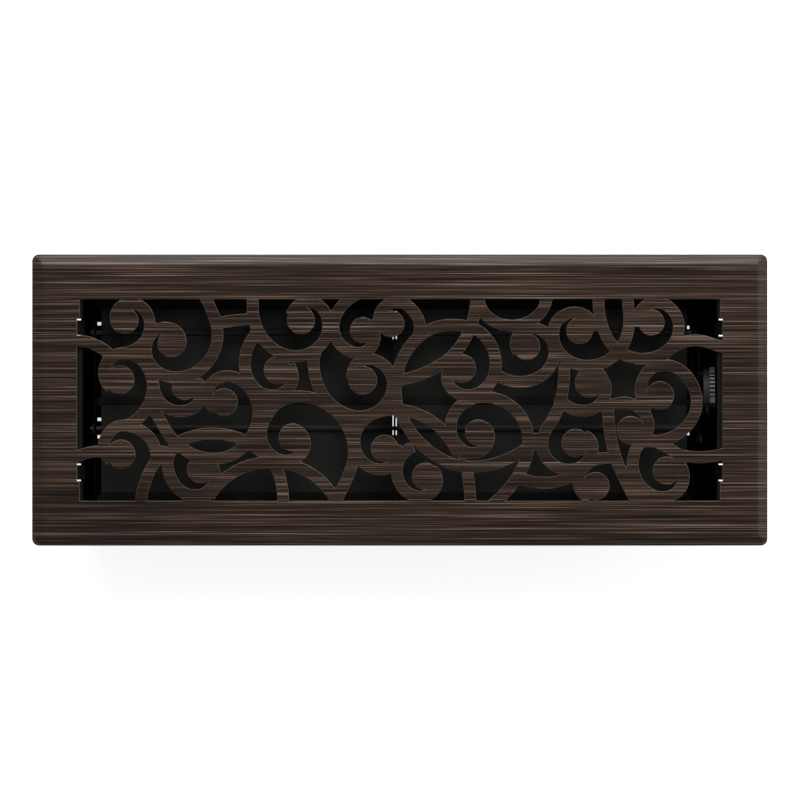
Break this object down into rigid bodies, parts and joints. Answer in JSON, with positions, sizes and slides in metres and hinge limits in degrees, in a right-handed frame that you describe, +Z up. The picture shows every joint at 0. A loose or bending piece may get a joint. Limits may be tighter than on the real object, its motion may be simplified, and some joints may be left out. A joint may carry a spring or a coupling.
{
  "type": "floor register",
  "caption": "Rectangular floor register: bevelled bronze faceplate pierced with scrollwork over a black sheet-metal damper box with linked pivoting blades and a ridged thumb lever.",
  "frame": {"origin": "centre of the plane on which the faceplate rim rests, which is the floor surface; the damper box hangs below it", "axes": "+Z up out of the floor, +X along the plate towards the thumb lever, +Y towards the rear long side"},
  "size_m": [0.3446, 0.1366, 0.0555],
  "materials": {
    "bronze": "brushed dark bronze",
    "black_paint": "satin black",
    "zinc_steel": "dull zinc",
    "lever_plastic": "matt moulded"
  },
  "bodies": {
    "housing": {"faceplate": "bronze", "damper_box": "black_paint", "left_bracket": "black_paint", "right_bracket": "black_paint", "centre_strap": "black_paint", "rear_seal_strip": "black_paint", "lever_pivot_pin": "zinc_steel", "lever_nut": "zinc_steel", "friction_washer": "zinc_steel"},
    "rear_damper": {"rear_blade": "black_paint", "rear_rod": "zinc_steel", "rear_rod_nut": "zinc_steel", "rear_crank": "black_paint", "rear_crank_pin": "zinc_steel"},
    "front_damper": {"front_blade": "black_paint", "front_rod": "zinc_steel", "front_rod_nut": "zinc_steel", "front_crank": "black_paint", "front_crank_pin": "zinc_steel"},
    "lever": {"thumb_lever": "lever_plastic", "lever_crank_pin": "zinc_steel", "link_nut": "zinc_steel"},
    "link": {"link_bar": "black_paint"}
  },
  "joints": [
    {"name": "rear_blade_turn", "type": "hinge", "parent": "housing", "child": "rear_damper", "pos_m": [0, 0.0317, -0.014], "axis": [1, 0, 0], "range_deg": [0, 70]},
    {"name": "front_blade_turn", "type": "hinge", "parent": "housing", "child": "front_damper", "pos_m": [0, -0.0133, -0.014], "axis": [1, 0, 0], "range_deg": [0, 70]},
    {"name": "lever_turn", "type": "hinge", "parent": "housing", "child": "lever", "pos_m": [0.1448, -0.0007, -0.014], "axis": [1, 0, 0], "range_deg": [0, 70]},
    {"name": "link_turn", "type": "hinge", "parent": "rear_damper", "child": "link", "pos_m": [0.1398, 0.02654, -0.02137], "axis": [1, 0, 0], "range_deg": [-70, 0]}
  ],
  "couplings": [
    {"joint": "front_blade_turn", "follows": "rear_blade_turn", "ratio": 1},
    {"joint": "lever_turn", "follows": "rear_blade_turn", "ratio": 1},
    {"joint": "link_turn", "follows": "rear_blade_turn", "ratio": -1}
  ]
}
